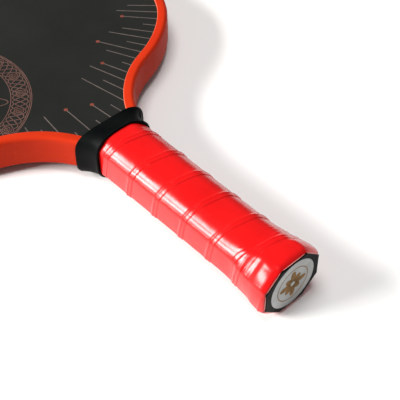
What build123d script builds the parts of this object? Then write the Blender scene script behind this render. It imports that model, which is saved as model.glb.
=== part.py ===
"""Pickleball paddle: honeycomb sandwich blade, edge guard, octagonal wrapped handle, rubber collar.

Everything is drawn lying face up, with y running from the butt end (0) to the tip of the blade and
z = 0 in the middle of the laminate. place() then moves each piece into the part's own frame: x across
the paddle, +y towards the tip, +z out of the front face, origin under the middle of the paddle on the
level of its lowest point.
"""
from build123d import *
from math import cos, floor, radians, sin, sqrt, tan
import os

# ---- overall size, mm ----
PADDLE_LENGTH = 403.0
PADDLE_WIDTH = 206.0
HANDLE_LENGTH = 137.0  # butt end to the blade side of the rubber collar

# ---- laminate, from the middle outwards, mm ----
BLADE_THICKNESS = 16.0
GRAPHIC_FILM = 0.15
FACE_SHEET = 0.50
ADHESIVE_FILM = 0.10
CORE_THICKNESS = BLADE_THICKNESS - 2 * (GRAPHIC_FILM + FACE_SHEET + ADHESIVE_FILM)

# ---- honeycomb, mm ----
CELL_ACROSS_FLATS = 8.0
CELL_WALL = 0.35
CORE_RIM = 0.6  # resin-sealed cut edge of the core
SMALLEST_CELL = 2.0  # mm2, a smaller remnant of a cell at the rim stays filled with resin

# ---- edge guard, mm ----
GUARD_WALL = 1.5
GUARD_LIP_WIDTH = 4.2
GUARD_LIP_THICKNESS = 1.5
GUARD_TAPE = 0.3
GUARD_TAPE_WIDTH = 12.0
GUARD_START = 127.0  # both ends of the guard tuck in under the collar
GUARD_OUTER_ROUND = 2.2
GUARD_LIP_ROUND = 0.5

# ---- outline of the laminate's edge: tangent arcs from the tongue to the tip ----
TONGUE_HALF = 11.0
TONGUE_START = 4.0
NECK_START = 119.6
NECK_RADIUS = 12.0
NECK_HEADING = 63.0  # degrees above the x axis, where the edge comes out from under the collar
NECK_RUN = 14.5
THROAT_RADIUS = 61.0
THROAT_HEADING = 18.8  # degrees above the x axis where the throat turns into the shoulder
SHOULDER_RADIUS = 82.0
SHOULDER_HEADING = 47.0
TIP_CORNER_RADIUS = 66.0
TIP_CORNER_SWEEP = 78.0
BLADE_HALF = PADDLE_WIDTH / 2 - GUARD_WALL - GUARD_TAPE
BLADE_TIP = PADDLE_LENGTH - GUARD_WALL - GUARD_TAPE

# ---- handle under the wrap, mm ----
PALLET_HALF_W = 13.7
PALLET_HALF_H = 12.4
PALLET_CUT = 5.45
PALLET_START = 3.0
PALLET_END = 135.6
PALLET_GLUE = 0.15
PALLET_LIP_END = 115.0  # the side lips stop where the blade starts to widen
TONGUE_CLEARANCE = 0.1
GUARD_CLEARANCE = 0.2

# ---- butt cap, mm ----
CAP_HALF_W = 18.0
CAP_HALF_H = 15.5
CAP_CUT_X = 9.6
CAP_CUT_Z = 9.0
FLANGE_THICKNESS = 1.2
FLANGE_CHAMFER = 0.4
SKIRT_END = 27.5
SKIRT_WALL = 0.6

# ---- round badge in the butt cap, mm ----
BADGE_RADIUS = 14.5
BADGE_THICKNESS = 0.6
BADGE_ADHESIVE = 0.1
BADGE_CLEARANCE = 0.1

# ---- staples that hold the cap, one in each pallet, mm ----
STAPLE_Y = 20.0
STAPLE_CROWN = 10.0
STAPLE_WIRE = 0.6
STAPLE_WIDTH = 1.2
STAPLE_LEG = 4.0
STAPLE_TOP = 13.05
POCKET_DEPTH = 1.0

# ---- grip, mm ----
BACKING_THICKNESS = 1.0
WRAP_THICKNESS = 0.8
GRIP_END = 125.6
FLARE_HALF_H = 15.2  # half height of the cap's skirt at its widest
OCTAGON_GROWTH = 1 - tan(radians(22.5))  # how much a 45 degree cut grows with an outward offset
# the surface the grip is wound on: y, half width, half height, corner cut in x, corner cut in z
GRIP_STATIONS = [
    (FLANGE_THICKNESS, 16.5, 14.1, 8.3, 7.7),
    (5.0, 17.1, FLARE_HALF_H, 8.6, 8.2),
    (SKIRT_END, PALLET_HALF_W, PALLET_HALF_H, PALLET_CUT, PALLET_CUT),
    (GRIP_END, PALLET_HALF_W, PALLET_HALF_H, PALLET_CUT, PALLET_CUT),
]
# the wrapped flare is the lowest point of the paddle when it lies level
MIDDLE_LEVEL = FLARE_HALF_H + BACKING_THICKNESS + WRAP_THICKNESS

# ---- finishing tape and rubber collar, mm ----
TAPE_START = 123.4
TAPE_THICKNESS = 0.2
COLLAR_START = 122.8
COLLAR_STEP = 126.0  # inside, the collar steps down here from the wrap onto the pallets
COLLAR_MOUTH = (17.9, 15.9, 8.5)  # handle side: half width, half height, corner radius
COLLAR_RIM = (22.9, 14.1, 7.0)  # blade side
COLLAR_BORE_MOUTH = (15.8, 14.5, 6.0)
COLLAR_BORE_STEP = (16.4, 14.5, 6.0)
COLLAR_SEAT_STEP = (16.4, 12.6, 5.0)
COLLAR_SEAT_RIM = (21.2, 12.6, 5.0)
COLLAR_END_WALL = 1.2  # closes the collar down onto the blade
COLLAR_CLEARANCE = 0.1
BEAD_RADIUS = 0.5

FAR = 500.0  # longer than anything on the paddle


def place(shape):
    """Move a piece from the drawing position into the part's own frame."""
    return Pos(0, -PADDLE_LENGTH / 2, MIDDLE_LEVEL) * shape


def blade_outline(grow=0.0):
    """The laminate's outline, grown outwards by an offset, as one flat face."""
    tongue_half = TONGUE_HALF + grow
    tongue = Line((tongue_half, TONGUE_START), (tongue_half, NECK_START))
    neck = JernArc(tongue @ 1, tongue % 1, NECK_RADIUS - grow, NECK_HEADING - 90)
    run = Line(neck @ 1, neck @ 1 + NECK_RUN * (neck % 1))
    throat = JernArc(run @ 1, run % 1, THROAT_RADIUS - grow, THROAT_HEADING - NECK_HEADING)
    turn = SHOULDER_HEADING - THROAT_HEADING
    shoulder = JernArc(throat @ 1, throat % 1, SHOULDER_RADIUS + grow, turn)
    hip_radius = (BLADE_HALF + grow - (shoulder @ 1).X) / (1 - sin(radians(SHOULDER_HEADING)))
    hip = JernArc(shoulder @ 1, shoulder % 1, hip_radius, 90 - SHOULDER_HEADING)
    # the tip is an arc centred on the middle line, tangent to both corner arcs
    sweep = radians(TIP_CORNER_SWEEP)
    tip_radius = (BLADE_HALF - TIP_CORNER_RADIUS) / cos(sweep) + TIP_CORNER_RADIUS
    corner_rise = TIP_CORNER_RADIUS * sin(sweep) + tip_radius * (1 - sin(sweep))
    side = Line(hip @ 1, (BLADE_HALF + grow, BLADE_TIP - corner_rise))
    corner = JernArc(side @ 1, side % 1, TIP_CORNER_RADIUS + grow, TIP_CORNER_SWEEP)
    tip = JernArc(corner @ 1, corner % 1, tip_radius + grow, 90 - TIP_CORNER_SWEEP)
    half = [tongue, neck, run, throat, shoulder, hip, side, corner, tip]
    other_half = [mirror(edge, about=Plane.YZ) for edge in half]
    base = Line((-tongue_half, TONGUE_START), (tongue_half, TONGUE_START))
    return make_face(Curve() + half + other_half + [base])


def sheet(face, low, high):
    """A flat face turned into a sheet between two heights."""
    return Pos(0, 0, low) * extrude(face, high - low)


def both_sheets(face, low, high):
    """The same sheet on the front and on the back of the laminate."""
    return sheet(face, low, high), sheet(face, -high, -low)


def octagon(y, half_w, half_h, cut_x, cut_z, grow=0.0):
    """An octagonal section of the handle, standing across the paddle at distance y."""
    w = half_w + grow
    h = half_h + grow
    x = w - cut_x - OCTAGON_GROWTH * grow
    z = h - cut_z - OCTAGON_GROWTH * grow
    corners = [(w, -z), (w, z), (x, h), (-x, h), (-w, z), (-w, -z), (-x, -h), (x, -h)]
    return Face(Wire.make_polygon([Vector(u, y, v) for u, v in corners], close=True))


def handle_prism(y_low, y_high, half_w, half_h, cut_x, cut_z):
    """A straight octagonal bar along the handle."""
    return extrude(octagon(y_low, half_w, half_h, cut_x, cut_z), y_high - y_low, dir=(0, 1, 0))


def grip_body(grow):
    """Everything inside the wound surface of the handle, grown by the layers already wound on it."""
    sections = [octagon(*station, grow) for station in GRIP_STATIONS]
    return Solid.make_loft([section.outer_wire() for section in sections], ruled=True)


def rounded_section(y, half_w, half_h, corner):
    """A rounded rectangle standing across the paddle at distance y."""
    across = Plane(origin=(0, y, 0), x_dir=(1, 0, 0), z_dir=(0, -1, 0))
    return across * RectangleRounded(2 * half_w, 2 * half_h, corner)


def slab(y_low, y_high, z_low, z_high):
    """A block right across the paddle, used to keep or remove a stretch of it."""
    return Pos(0, (y_low + y_high) / 2, (z_low + z_high) / 2) * Box(FAR, y_high - y_low, z_high - z_low)


# ---- blade ----
def hexagon_centres():
    """Centres of a close-packed hexagonal grid over the whole laminate, one column on x = 0."""
    row_pitch = CELL_ACROSS_FLATS * sqrt(3) / 2
    columns = floor(BLADE_HALF / CELL_ACROSS_FLATS) + 1
    rows = floor((BLADE_TIP - TONGUE_START) / row_pitch) + 1
    for row in range(rows + 1):
        shift = CELL_ACROSS_FLATS / 2 if row % 2 else 0.0
        for column in range(-columns, columns + 1):
            yield column * CELL_ACROSS_FLATS + shift, TONGUE_START + row * row_pitch


def honeycomb_cells(limit):
    """Outlines of the open cells inside a limiting face; cells on its edge are cut off along it."""
    cell_radius = (CELL_ACROSS_FLATS - CELL_WALL) / sqrt(3)
    hexagon = RegularPolygon(cell_radius, 6, rotation=30)
    for x, y in hexagon_centres():
        cell = Pos(x, y) * hexagon
        corners_inside = [limit.is_inside(corner.center()) for corner in cell.vertices()]
        if all(corners_inside):
            yield cell.face().outer_wire()
        elif any(corners_inside):
            for piece in (cell & limit).faces():
                if piece.area > SMALLEST_CELL:
                    yield piece.outer_wire()


def honeycomb_core():
    """Polypropylene honeycomb: open hexagonal cells through the core, with a sealed rim."""
    rim_limit = blade_outline(-CORE_RIM) & (Pos(0, FAR / 2 + TONGUE_START + CORE_RIM) * Rectangle(FAR, FAR))
    cells = list(honeycomb_cells(rim_limit.face()))
    outline = Face(blade_outline().face().outer_wire(), cells)
    return sheet(outline, -CORE_THICKNESS / 2, CORE_THICKNESS / 2)


def laminate_sheets():
    """Adhesive film, structural face sheet and printed outer film, in pairs from the core outwards."""
    outline = blade_outline()
    level = CORE_THICKNESS / 2
    layers = [("adhesive_film", ADHESIVE_FILM), ("face_sheet", FACE_SHEET), ("graphic_film", GRAPHIC_FILM)]
    pieces = {}
    for name, thickness in layers:
        front, back = both_sheets(outline, level, level + thickness)
        pieces["front_" + name] = front
        pieces["back_" + name] = back
        level += thickness
    return pieces


def edge_guard():
    """U-channel moulding: an outer wall and two lips that reach in over the faces."""
    half_height = BLADE_THICKNESS / 2 + GUARD_LIP_THICKNESS
    envelope = sheet(blade_outline(GUARD_TAPE + GUARD_WALL), -half_height, half_height)
    envelope = fillet(rims_beyond_neck(envelope.edges()), GUARD_OUTER_ROUND)
    opening = sheet(blade_outline(-GUARD_LIP_WIDTH), -BLADE_THICKNESS, BLADE_THICKNESS)
    ring = envelope - opening
    ring = fillet(rims_beyond_neck(new_edges(envelope, opening, combined=ring)), GUARD_LIP_ROUND)
    channel = sheet(blade_outline(GUARD_TAPE), -BLADE_THICKNESS / 2, BLADE_THICKNESS / 2)
    return (ring - channel) & slab(GUARD_START, FAR, -half_height, half_height)


def rims_beyond_neck(edges):
    """The flat edges round the top and the bottom of the guard, leaving out the hidden neck."""
    return edges.filter_by(Plane.XY).filter_by(lambda edge: edge.center().Y > NECK_START)


def edge_guard_tape():
    """Double-sided tape round the cut edge of the laminate, under the guard."""
    half = GUARD_TAPE_WIDTH / 2
    ring = sheet(blade_outline(GUARD_TAPE), -half, half) - sheet(blade_outline(), -half, half)
    return ring & slab(GUARD_START, FAR, -half, half)


# ---- handle ----
def guard_room():
    """The space that the ends of the edge guard take up beside the pallets."""
    reach = BLADE_THICKNESS / 2 + GUARD_LIP_THICKNESS + GUARD_CLEARANCE
    outside = Pos(0, FAR / 2) * Rectangle(FAR, FAR) - blade_outline(-GUARD_LIP_WIDTH - GUARD_CLEARANCE)
    return sheet(outside, -reach, reach) & slab(GUARD_START - GUARD_CLEARANCE, FAR, -reach, reach)


def pallet_nose():
    """The slimmer end of the pallets, which fills the socket in the butt cap."""
    nose_w = PALLET_HALF_W - SKIRT_WALL
    nose_h = PALLET_HALF_H - SKIRT_WALL
    return handle_prism(PALLET_START, SKIRT_END, nose_w, nose_h, PALLET_CUT, PALLET_CUT)


def front_handle_pallet():
    """Rigid foam half shell on the front of the tongue, with side lips that meet its twin."""
    pallet = handle_prism(PALLET_START, PALLET_END, PALLET_HALF_W, PALLET_HALF_H, PALLET_CUT, PALLET_CUT)
    pallet = pallet & (pallet_nose() + slab(SKIRT_END, FAR, -FAR, FAR))
    seat = BLADE_THICKNESS / 2 + PALLET_GLUE
    pallet = pallet & slab(0, FAR, 0, FAR)
    tongue_room = Pos(0, FAR / 2) * Rectangle(2 * (TONGUE_HALF + TONGUE_CLEARANCE), FAR)
    pallet -= sheet(tongue_room, -seat, seat)
    pallet -= slab(0, SKIRT_END, -seat, seat)
    pallet -= slab(PALLET_LIP_END, FAR, -seat, seat)
    return pallet - guard_room() - staples(pocket=True)


def pallet_glue():
    """Glue layer between the printed film on the tongue and the pallet above it."""
    length = PALLET_END - TONGUE_START
    strip = Pos(0, TONGUE_START + length / 2) * Rectangle(2 * TONGUE_HALF, length)
    level = BLADE_THICKNESS / 2
    layer = sheet(strip & blade_outline(), level, level + PALLET_GLUE)
    return layer - guard_room()


def staple(pocket=False):
    """Flat-wire staple in the front pallet; its pocket is open above the crown."""
    half = STAPLE_CROWN / 2
    leg = Rectangle(STAPLE_WIRE, STAPLE_LEG, align=(Align.CENTER, Align.MAX))
    crown_height = STAPLE_WIRE + POCKET_DEPTH if pocket else STAPLE_WIRE
    crown = Rectangle(STAPLE_CROWN, crown_height, align=(Align.CENTER, Align.MIN))
    shape = Pos(0, -STAPLE_WIRE) * crown
    for side in (-1, 1):
        shape += Pos(side * (half - STAPLE_WIRE / 2), 0) * leg
    across = Plane(origin=(0, STAPLE_Y, STAPLE_TOP), x_dir=(1, 0, 0), z_dir=(0, -1, 0))
    return extrude(across * shape, STAPLE_WIDTH / 2, both=True)


def staples(pocket=False):
    """Both staples, one through the front of the cap and one through the back."""
    front = staple(pocket)
    return front + mirror(front, about=Plane.XY)


def butt_cap():
    """Octagonal end moulding: flange, end plate with a round recess, and a flared skirt."""
    flange_face = octagon(0, CAP_HALF_W, CAP_HALF_H, CAP_CUT_X, CAP_CUT_Z)
    flange = extrude(flange_face, FLANGE_THICKNESS, dir=(0, 1, 0))
    flange = chamfer(flange.faces().sort_by(Axis.Y)[0].edges(), FLANGE_CHAMFER)
    skirt = grip_body(0) & slab(0, SKIRT_END, -FAR, FAR)
    recess = disc(BADGE_RADIUS + BADGE_CLEARANCE, 0, BADGE_THICKNESS + BADGE_ADHESIVE)
    return flange + skirt - pallet_nose() - recess - staples(pocket=True)


def disc(radius, y_low, y_high):
    """A round disc across the end of the handle."""
    across = Plane(origin=(0, y_low, 0), x_dir=(1, 0, 0), z_dir=(0, 1, 0))
    return extrude(across * Circle(radius), y_high - y_low)


def grip_backing():
    """Felt-backed cushion layer of the grip, wound straight onto the pallets and the cap's skirt."""
    return grip_body(BACKING_THICKNESS) - grip_body(0)


def grip_wrap():
    """Tacky outer skin of the grip."""
    return grip_body(BACKING_THICKNESS + WRAP_THICKNESS) - grip_body(BACKING_THICKNESS)


def finishing_tape():
    """Tape that holds down the last turn of the grip, hidden inside the collar."""
    wound = BACKING_THICKNESS + WRAP_THICKNESS
    ring = grip_body(wound + TAPE_THICKNESS) - grip_body(wound)
    return ring & slab(TAPE_START, GRIP_END, -FAR, FAR)


def blade_room():
    """The space that the laminate and the edge guard take up in the end wall of the collar."""
    outside = blade_outline(GUARD_TAPE + GUARD_WALL + COLLAR_CLEARANCE)
    lips = outside - blade_outline(-GUARD_LIP_WIDTH - COLLAR_CLEARANCE)
    face_level = BLADE_THICKNESS / 2 + COLLAR_CLEARANCE
    lip_level = face_level + GUARD_LIP_THICKNESS
    return sheet(outside, -face_level, face_level) + sheet(lips, -lip_level, lip_level)


def rubber_collar():
    """Stretched rubber sleeve over the end of the grip and the throat, closed onto both."""
    outside = loft([rounded_section(COLLAR_START, *COLLAR_MOUTH), rounded_section(HANDLE_LENGTH, *COLLAR_RIM)])
    rims = outside.faces().sort_by(Axis.Y)[0].edges() + outside.faces().sort_by(Axis.Y)[-1].edges()
    outside = fillet(rims, BEAD_RADIUS)
    bore = loft([
        rounded_section(COLLAR_START, *COLLAR_BORE_MOUTH),
        rounded_section(COLLAR_STEP, *COLLAR_BORE_STEP),
    ])
    seat = loft([
        rounded_section(COLLAR_STEP, *COLLAR_SEAT_STEP),
        rounded_section(HANDLE_LENGTH - COLLAR_END_WALL, *COLLAR_SEAT_RIM),
    ])
    return outside - bore - seat - blade_room()


def paddle():
    """Every piece of the paddle by name."""
    pieces = {"honeycomb_core": honeycomb_core()}
    pieces.update(laminate_sheets())
    pieces["edge_guard"] = edge_guard()
    pieces["edge_guard_tape"] = edge_guard_tape()
    pallet = front_handle_pallet()
    glue = pallet_glue()
    pieces["front_handle_pallet"] = pallet
    pieces["back_handle_pallet"] = mirror(pallet, about=Plane.XY)
    pieces["front_pallet_glue"] = glue
    pieces["back_pallet_glue"] = mirror(glue, about=Plane.XY)
    pieces["butt_cap"] = butt_cap()
    pieces["butt_cap_staples"] = staples()
    badge_end = BADGE_THICKNESS + BADGE_ADHESIVE
    pieces["butt_badge"] = disc(BADGE_RADIUS, 0, BADGE_THICKNESS)
    pieces["badge_adhesive"] = disc(BADGE_RADIUS, BADGE_THICKNESS, badge_end)
    pieces["grip_backing"] = grip_backing()
    pieces["grip_wrap"] = grip_wrap()
    pieces["finishing_tape"] = finishing_tape()
    pieces["rubber_collar"] = rubber_collar()
    return pieces


os.makedirs("parts", exist_ok=True)
for node, piece in paddle().items():
    export_step(place(piece), f"parts/{node}.step")
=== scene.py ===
"""Looks of the pickleball paddle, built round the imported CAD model.

Handle work is done in millimetres in handle coordinates: x across, y from the butt end towards the
tip, z up from the middle of the laminate. to_frame() turns those into metres in the CAD frame.
"""
from math import ceil, cos, exp, pi, radians, sin

import bpy
import numpy as np
from mathutils import Matrix, Vector, noise


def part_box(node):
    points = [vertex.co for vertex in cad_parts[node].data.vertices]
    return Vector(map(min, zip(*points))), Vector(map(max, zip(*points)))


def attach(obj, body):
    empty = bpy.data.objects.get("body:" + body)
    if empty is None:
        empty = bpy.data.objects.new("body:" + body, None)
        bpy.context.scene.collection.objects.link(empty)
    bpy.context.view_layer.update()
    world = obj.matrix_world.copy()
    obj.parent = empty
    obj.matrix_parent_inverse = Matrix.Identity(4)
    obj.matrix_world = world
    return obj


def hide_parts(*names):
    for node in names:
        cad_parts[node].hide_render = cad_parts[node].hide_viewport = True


MM = 0.001

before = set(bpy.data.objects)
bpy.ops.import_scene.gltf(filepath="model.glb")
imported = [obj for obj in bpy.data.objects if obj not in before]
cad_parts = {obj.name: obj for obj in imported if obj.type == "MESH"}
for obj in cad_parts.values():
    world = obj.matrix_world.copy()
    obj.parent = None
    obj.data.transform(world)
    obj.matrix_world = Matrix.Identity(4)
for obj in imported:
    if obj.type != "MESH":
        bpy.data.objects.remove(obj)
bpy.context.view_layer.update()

# ---- places read from the frame, metres ----
BUTT_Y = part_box("butt_cap")[0].y
MID_Z = (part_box("honeycomb_core")[0].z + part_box("honeycomb_core")[1].z) / 2
FACE_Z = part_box("front_graphic_film")[1].z
GUARD_LOW, GUARD_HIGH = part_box("edge_guard")
COLLAR_LOW, COLLAR_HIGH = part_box("rubber_collar")

# ---- the same, in handle millimetres ----
LIP_TOP = (GUARD_HIGH.z - MID_Z) / MM
FACE_HALF = (FACE_Z - MID_Z) / MM
COLLAR_MOUTH_Y = (COLLAR_LOW.y - BUTT_Y) / MM
COLLAR_RIM_Y = (COLLAR_HIGH.y - BUTT_Y) / MM
GUARD_START_Y = (GUARD_LOW.y - BUTT_Y) / MM
TIP_Y = (GUARD_HIGH.y - BUTT_Y) / MM

# ---- guard section, mm ----
GUARD_OUT = 1.8  # how far its wall stands outside the laminate's edge
LIP_IN = 4.2  # how far its lips reach in over the faces


def to_frame(points):
    """Handle millimetres to CAD-frame metres."""
    p = np.asarray(points, float) * MM
    p[..., 1] += BUTT_Y
    p[..., 2] += MID_Z
    return p


# ---------------------------------------------------------------- mesh helpers
def make_piece(name, points, faces, material, replaced=(), smooth=True):
    """A mesh piece in handle millimetres that rides on the paddle."""
    mesh = bpy.data.meshes.new(name)
    mesh.from_pydata(to_frame(points).tolist(), [], faces)
    mesh.validate()
    if smooth:
        mesh.shade_smooth()
    else:
        mesh.shade_flat()
    mesh.materials.append(material)
    piece = bpy.data.objects.new(name, mesh)
    bpy.context.scene.collection.objects.link(piece)
    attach(piece, "root")
    if replaced:
        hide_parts(*replaced)
    return piece


def set_attribute(piece, name, values):
    """One number per point, for the material to read."""
    attribute = piece.data.attributes.new(name, "FLOAT", "POINT")
    attribute.data.foreach_set("value", np.asarray(values, np.float32))


def ring_faces(rows, columns, closed_rows=False):
    """Quads of a grid whose columns close round; its rows may close too."""
    faces = []
    for r in range(rows if closed_rows else rows - 1):
        below = r * columns
        above = ((r + 1) % rows) * columns
        for c in range(columns):
            d = (c + 1) % columns
            faces.append((below + c, below + d, above + d, above + c))
    return faces


def smoothstep(low, high, x):
    """0 below low, 1 above high, and a smooth climb between them."""
    t = np.clip((np.asarray(x, float) - low) / (high - low), 0, 1)
    return t * t * (3 - 2 * t)


def gaussian_closed(points, sigma):
    """Smooths a closed, evenly spaced loop; sigma is counted in points."""
    reach = int(ceil(3 * sigma))
    weights = [exp(-0.5 * (k / sigma) ** 2) for k in range(-reach, reach + 1)]
    total = sum(weights)
    return sum(w / total * np.roll(points, k, axis=0) for k, w in zip(range(-reach, reach + 1), weights))


def polar(radius, angle):
    """(x, y) points at radius and angle from the origin; either may be an array."""
    return np.stack([radius * np.cos(angle), radius * np.sin(angle)], axis=1)


def whole_turn(count):
    """Angles spread evenly round a circle."""
    return np.linspace(0, 2 * pi, count, endpoint=False)


def evenly(points, spacing, closed=False):
    """Points at an even spacing along a polyline."""
    line = np.vstack([points, points[:1]]) if closed else np.asarray(points, float)
    along = np.concatenate([[0], np.cumsum(np.linalg.norm(np.diff(line, axis=0), axis=1))])
    count = int(round(along[-1] / spacing))
    at = np.linspace(0, along[-1], count + 1)
    made = np.stack([np.interp(at, along, line[:, k]) for k in range(line.shape[1])], axis=1)
    return made[:-1] if closed else made


# ---------------------------------------------------------------- material helpers
class Material:
    """A Principled material with the few nodes that every finish here uses."""

    def __init__(self, name, **sockets):
        self.material = bpy.data.materials.new(name)
        self.material.use_nodes = True
        self.tree = self.material.node_tree
        self.shader = self.tree.nodes["Principled BSDF"]
        for socket, value in sockets.items():
            self.shader.inputs[socket.replace("_", " ")].default_value = value
        self.place = self.tree.nodes.new("ShaderNodeTexCoord").outputs["Object"]
        self.normal = None

    def node(self, kind, **inputs):
        made = self.tree.nodes.new(kind)
        for name, value in inputs.items():
            self.feed(made.inputs[name.replace("_", " ")], value)
        return made

    def feed(self, socket, value):
        """Links a socket to another one, or sets it to a plain value."""
        if isinstance(value, bpy.types.NodeSocket):
            self.tree.links.new(value, socket)
        else:
            socket.default_value = value

    def stretched(self, scale, turn=(0, 0, 0)):
        return self.node("ShaderNodeMapping", Vector=self.place, Scale=scale, Rotation=turn).outputs[0]

    def noise(self, scale, detail=3.0, rough=0.55, at=None):
        place = at or self.place
        made = self.node("ShaderNodeTexNoise", Vector=place, Scale=scale, Detail=detail, Roughness=rough)
        return made.outputs["Fac"]

    def ramp(self, value, low, high, to_low=0.0, to_high=1.0):
        made = self.node("ShaderNodeMapRange", Value=value)
        for name, number in zip(("From Min", "From Max", "To Min", "To Max"), (low, high, to_low, to_high)):
            made.inputs[name].default_value = number
        return made.outputs[0]

    def mix(self, share, first, second):
        """A blend of two colours, which are sockets 6 and 7 of the node when it mixes colours."""
        made = self.tree.nodes.new("ShaderNodeMix")
        made.data_type = "RGBA"
        self.feed(made.inputs[0], share)
        self.feed(made.inputs[6], first)
        self.feed(made.inputs[7], second)
        return made.outputs[2]

    def math(self, operation, first, second=0.0):
        made = self.tree.nodes.new("ShaderNodeMath")
        made.operation = operation
        self.feed(made.inputs[0], first)
        self.feed(made.inputs[1], second)
        return made.outputs[0]

    def attribute(self, name):
        made = self.tree.nodes.new("ShaderNodeAttribute")
        made.attribute_name = name
        return made.outputs["Fac"]

    def bump(self, height, distance, strength=1.0):
        made = self.node("ShaderNodeBump", Height=height, Distance=distance, Strength=strength)
        if self.normal is not None:
            self.feed(made.inputs["Normal"], self.normal)
        self.normal = made.outputs[0]
        self.feed(self.shader.inputs["Normal"], self.normal)

    def colour(self, value):
        self.feed(self.shader.inputs["Base Color"], value)

    def roughness(self, value):
        self.feed(self.shader.inputs["Roughness"], value)


def srgb(r, g, b):
    """A screen colour, 0 to 255, as the linear value that the shader takes."""
    def linear(c):
        c /= 255
        return c / 12.92 if c <= 0.04045 else ((c + 0.055) / 1.055) ** 2.4
    return (linear(r), linear(g), linear(b), 1.0)


# ---------------------------------------------------------------- materials
def film_material():
    """Printed matt film: near black with a green cast, fine stipple and faint cloudy wear."""
    m = Material("printed_film", IOR=1.45, Specular_IOR_Level=0.08)
    cloud = m.noise(22, 4)
    fleck = m.noise(1800, 2)
    base = m.mix(m.ramp(cloud, 0.3, 0.7), srgb(24, 25, 23), srgb(30, 31, 29))
    m.colour(m.mix(m.ramp(fleck, 0.45, 0.75, 0, 0.35), base, srgb(42, 44, 40)))
    m.roughness(m.ramp(m.noise(35, 5), 0.3, 0.7, 0.66, 0.8))
    m.bump(m.noise(2600, 2), 0.00004, 0.5)
    return m.material


def ink_material(name, low, high):
    """Copper print: a slightly metallic ink that thins out here and there."""
    m = Material(name, Metallic=0.4, IOR=1.5, Specular_IOR_Level=0.2)
    m.colour(m.mix(m.ramp(m.noise(260, 4), 0.35, 0.65), low, high))
    m.roughness(m.ramp(m.noise(900, 2), 0.3, 0.7, 0.4, 0.55))
    m.bump(m.noise(2500, 2), 0.00003, 0.4)
    return m.material


def guard_material():
    """Satin orange elastomer: faint moulding flow, handling marks, and a painted highlight along the lip's
    inner edge.
    """
    m = Material("guard_elastomer", IOR=1.45, Specular_IOR_Level=0.06)
    flow = m.noise(18, 4, at=m.stretched((1, 1, 3)))
    base = m.mix(m.ramp(flow, 0.3, 0.7), srgb(166, 37, 14), srgb(178, 46, 19))
    scuff = m.ramp(m.noise(420, 3), 0.62, 0.74, 0, 0.2)
    marked = m.mix(scuff, base, srgb(205, 80, 48))
    # painted highlight: a lighter band along the lips' inner edge stands in for the glint on that rounded
    # edge
    m.colour(m.mix(m.ramp(m.attribute("rubbed"), 0.0, 1.0, 0, 0.85), marked, srgb(200, 104, 80)))
    m.roughness(m.ramp(m.noise(60, 4), 0.3, 0.7, 0.4, 0.55))
    m.bump(m.noise(1500, 2), 0.00005, 0.35)
    return m.material


def grip_material():
    """Glossy tacky polyurethane: grain, tiny cross wrinkles, and painted shade at the overlaps' edges and
    along the side corners.
    """
    m = Material("grip_skin", IOR=1.45, Specular_IOR_Level=0.34)
    base = m.mix(m.ramp(m.noise(30, 4), 0.3, 0.7), srgb(186, 11, 13), srgb(198, 17, 18))
    # painted shade: the red darkens towards a deep red where the per-point attribute marks the overlaps'
    # edges and the corners beside the side facets
    m.colour(m.mix(m.ramp(m.attribute("groove"), 0.0, 1.0, 0, 0.45), base, srgb(100, 4, 8)))
    m.roughness(m.ramp(m.noise(90, 4), 0.3, 0.7, 0.17, 0.27))
    m.bump(m.noise(420, 3, at=m.stretched((1, 2.2, 1))), 0.00012, 0.25)
    m.bump(m.noise(2200, 2), 0.00005, 0.3)
    return m.material


def rubber_material(name, low, high, gloss_low, gloss_high, grain=900):
    """Black moulded rubber with a fine spark-eroded grain and a little bloom."""
    m = Material(name, IOR=1.4, Specular_IOR_Level=0.07)
    m.colour(m.mix(m.ramp(m.noise(70, 5), 0.35, 0.7), low, high))
    m.roughness(m.ramp(m.noise(140, 3), 0.3, 0.7, gloss_low, gloss_high))
    m.bump(m.noise(grain, 3), 0.00008, 0.4)
    return m.material


def badge_material():
    """Pearly silver-grey print under a clear coat, with faint turned rings."""
    m = Material("badge_plate", Metallic=0.35, IOR=1.5, Coat_Weight=0.5, Coat_Roughness=0.1)
    ring_pitch = 0.6 * MM
    split = m.node("ShaderNodeSeparateXYZ", Vector=m.place)
    height = m.math("SUBTRACT", split.outputs[2], MID_Z)
    squares = m.math("ADD", m.math("POWER", split.outputs[0], 2.0), m.math("POWER", height, 2.0))
    rings = m.math("SINE", m.math("MULTIPLY", m.math("SQRT", squares), 2 * pi / ring_pitch))
    base = m.mix(m.ramp(m.noise(140, 3), 0.3, 0.7), srgb(138, 142, 140), srgb(158, 161, 160))
    m.colour(m.mix(m.ramp(rings, -1, 1, 0, 0.16), base, srgb(180, 182, 184)))
    m.roughness(m.ramp(m.noise(300, 3), 0.3, 0.7, 0.3, 0.42))
    m.bump(rings, 0.00002, 0.3)
    return m.material


def fabric_edge_material():
    """Cut edge of the grip strip: pale felt with a pink cast."""
    m = Material("grip_cut_edge", IOR=1.45, Sheen_Weight=0.3)
    m.colour(m.mix(m.ramp(m.noise(1500, 3), 0.3, 0.7), srgb(196, 104, 98), srgb(222, 148, 140)))
    m.roughness(m.ramp(m.noise(900, 2), 0.3, 0.7, 0.7, 0.9))
    m.bump(m.noise(3000, 2), 0.0001, 0.6)
    return m.material


def inner_material(name, low, high, rough=0.6):
    """Plain stock inside the paddle: foam, film, tape or wire with a fine mottle."""
    m = Material(name, IOR=1.45)
    m.colour(m.mix(m.ramp(m.noise(200, 3), 0.3, 0.7), low, high))
    m.roughness(m.ramp(m.noise(400, 3), 0.3, 0.7, rough - 0.1, rough + 0.1))
    m.bump(m.noise(900, 2), 0.00008, 0.4)
    return m.material


# ---------------------------------------------------------------- outline of the laminate
FACE_TOLERANCE = 0.00005  # metres, for telling the film's top face from its sides
OUTLINE_STEP = 0.8  # mm between the points of the edge line
OUTLINE_SMOOTH = 2.5  # points


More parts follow.
